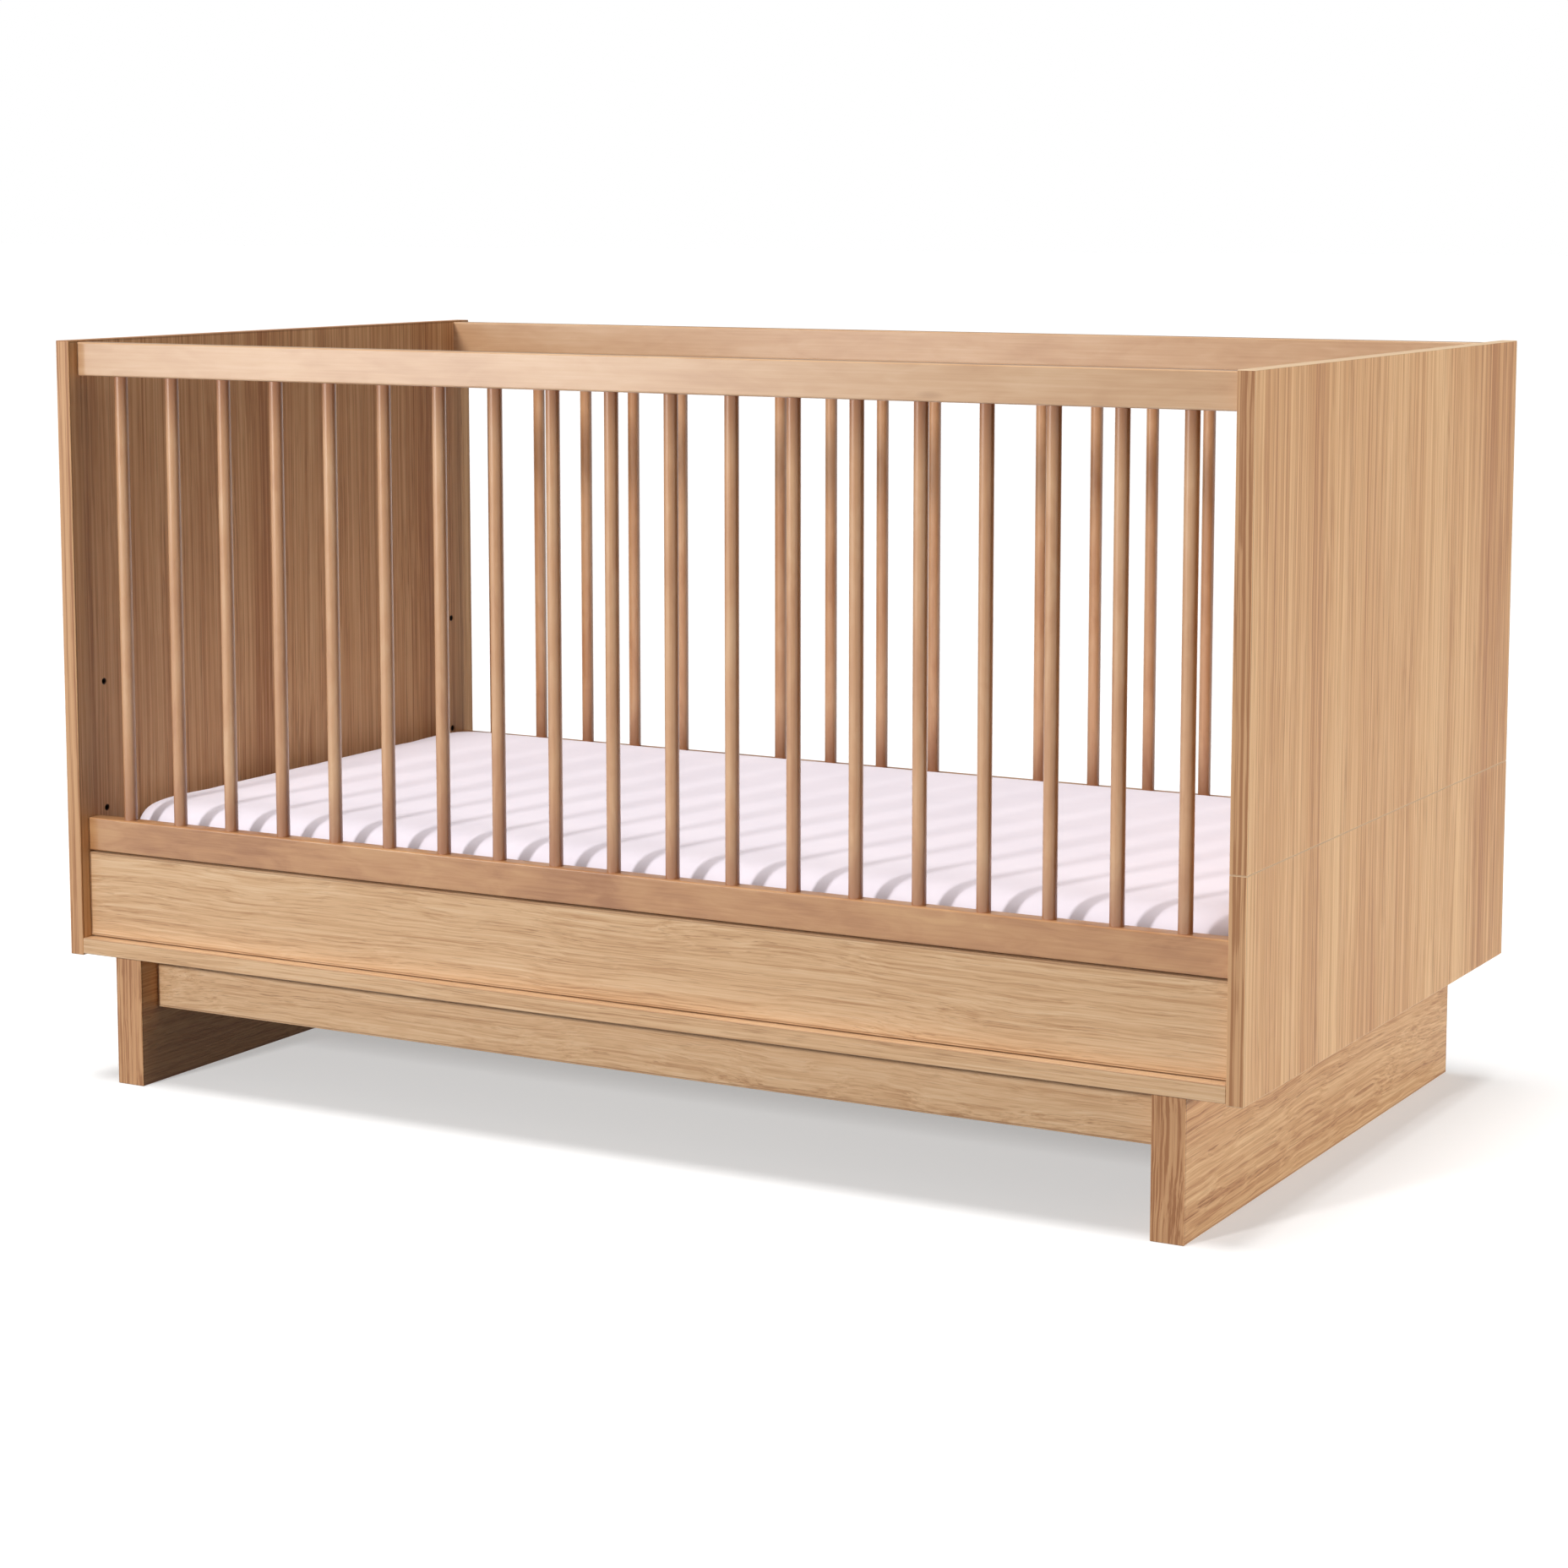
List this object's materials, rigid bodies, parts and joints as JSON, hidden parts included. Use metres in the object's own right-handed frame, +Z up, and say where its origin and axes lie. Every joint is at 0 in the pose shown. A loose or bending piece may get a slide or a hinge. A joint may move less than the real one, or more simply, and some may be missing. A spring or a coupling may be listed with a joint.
{
  "type": "baby crib",
  "caption": "Cot bed with oak-effect end panels, slatted sides of round spindles, aprons on sled legs, a height-adjustable slatted base and a sheeted mattress.",
  "frame": {"origin": "on the floor, below the middle of the bed", "axes": "+X along the bed towards the two-part end panel, +Y from the front side to the back side, +Z up"},
  "size_m": [1.44, 0.8, 0.85],
  "materials": {
    "oak_laminate": "oak-effect laminated board, matt",
    "honey_wood": "solid wood, honey stain, satin lacquer",
    "base_wood": "plain softwood, sanded",
    "mattress_cover": "white cotton fitted sheet over a foam mattress",
    "bracket_steel": "zinc plated",
    "bolt_steel": "zinc plated",
    "insert_steel": "blackened steel",
    "cam_zinc": "cast zinc cam and steel bolt"
  },
  "bodies": {
    "cot_frame": {"left_end_panel": "oak_laminate", "right_end_panel_lower": "oak_laminate", "right_end_panel_upper": "oak_laminate", "front_apron": "oak_laminate", "front_ledge": "oak_laminate", "front_stretcher": "oak_laminate", "front_top_rail": "honey_wood", "front_bottom_rail": "honey_wood", "back_apron": "oak_laminate", "back_ledge": "oak_laminate", "back_stretcher": "oak_laminate", "back_top_rail": "honey_wood", "back_bottom_rail": "honey_wood", "left_leg": "oak_laminate", "right_leg": "oak_laminate", "front_spindle_01": "honey_wood", "front_spindle_02": "honey_wood", "front_spindle_03": "honey_wood", "front_spindle_04": "honey_wood", "front_spindle_05": "honey_wood", "front_spindle_06": "honey_wood", "front_spindle_07": "honey_wood", "front_spindle_08": "honey_wood", "front_spindle_09": "honey_wood", "front_spindle_10": "honey_wood", "front_spindle_11": "honey_wood", "front_spindle_12": "honey_wood", "front_spindle_13": "honey_wood", "front_spindle_14": "honey_wood", "front_spindle_15": "honey_wood", "front_spindle_16": "honey_wood", "front_spindle_17": "honey_wood", "front_spindle_18": "honey_wood", "front_spindle_19": "honey_wood", "back_spindle_01": "honey_wood", "back_spindle_02": "honey_wood", "back_spindle_03": "honey_wood", "back_spindle_04": "honey_wood", "back_spindle_05": "honey_wood", "back_spindle_06": "honey_wood", "back_spindle_07": "honey_wood", "back_spindle_08": "honey_wood", "back_spindle_09": "honey_wood", "back_spindle_10": "honey_wood", "back_spindle_11": "honey_wood", "back_spindle_12": "honey_wood", "back_spindle_13": "honey_wood", "back_spindle_14": "honey_wood", "back_spindle_15": "honey_wood", "back_spindle_16": "honey_wood", "back_spindle_17": "honey_wood", "back_spindle_18": "honey_wood", "back_spindle_19": "honey_wood", "base_brackets": "bracket_steel", "bracket_bolts": "bolt_steel", "threaded_inserts": "insert_steel", "cam_fittings": "cam_zinc"},
    "platform": {"base_frame": "base_wood", "base_slats": "base_wood"},
    "mattress": {"mattress": "mattress_cover"}
  },
  "joints": [
    {"name": "platform_height", "type": "slide", "parent": "cot_frame", "child": "platform", "axis": [0, 0, 1], "range_m": [0, 0.274]},
    {"name": "mattress_lift", "type": "slide", "parent": "platform", "child": "mattress", "axis": [0, 0, 1], "range_m": [0, 0.66]}
  ]
}
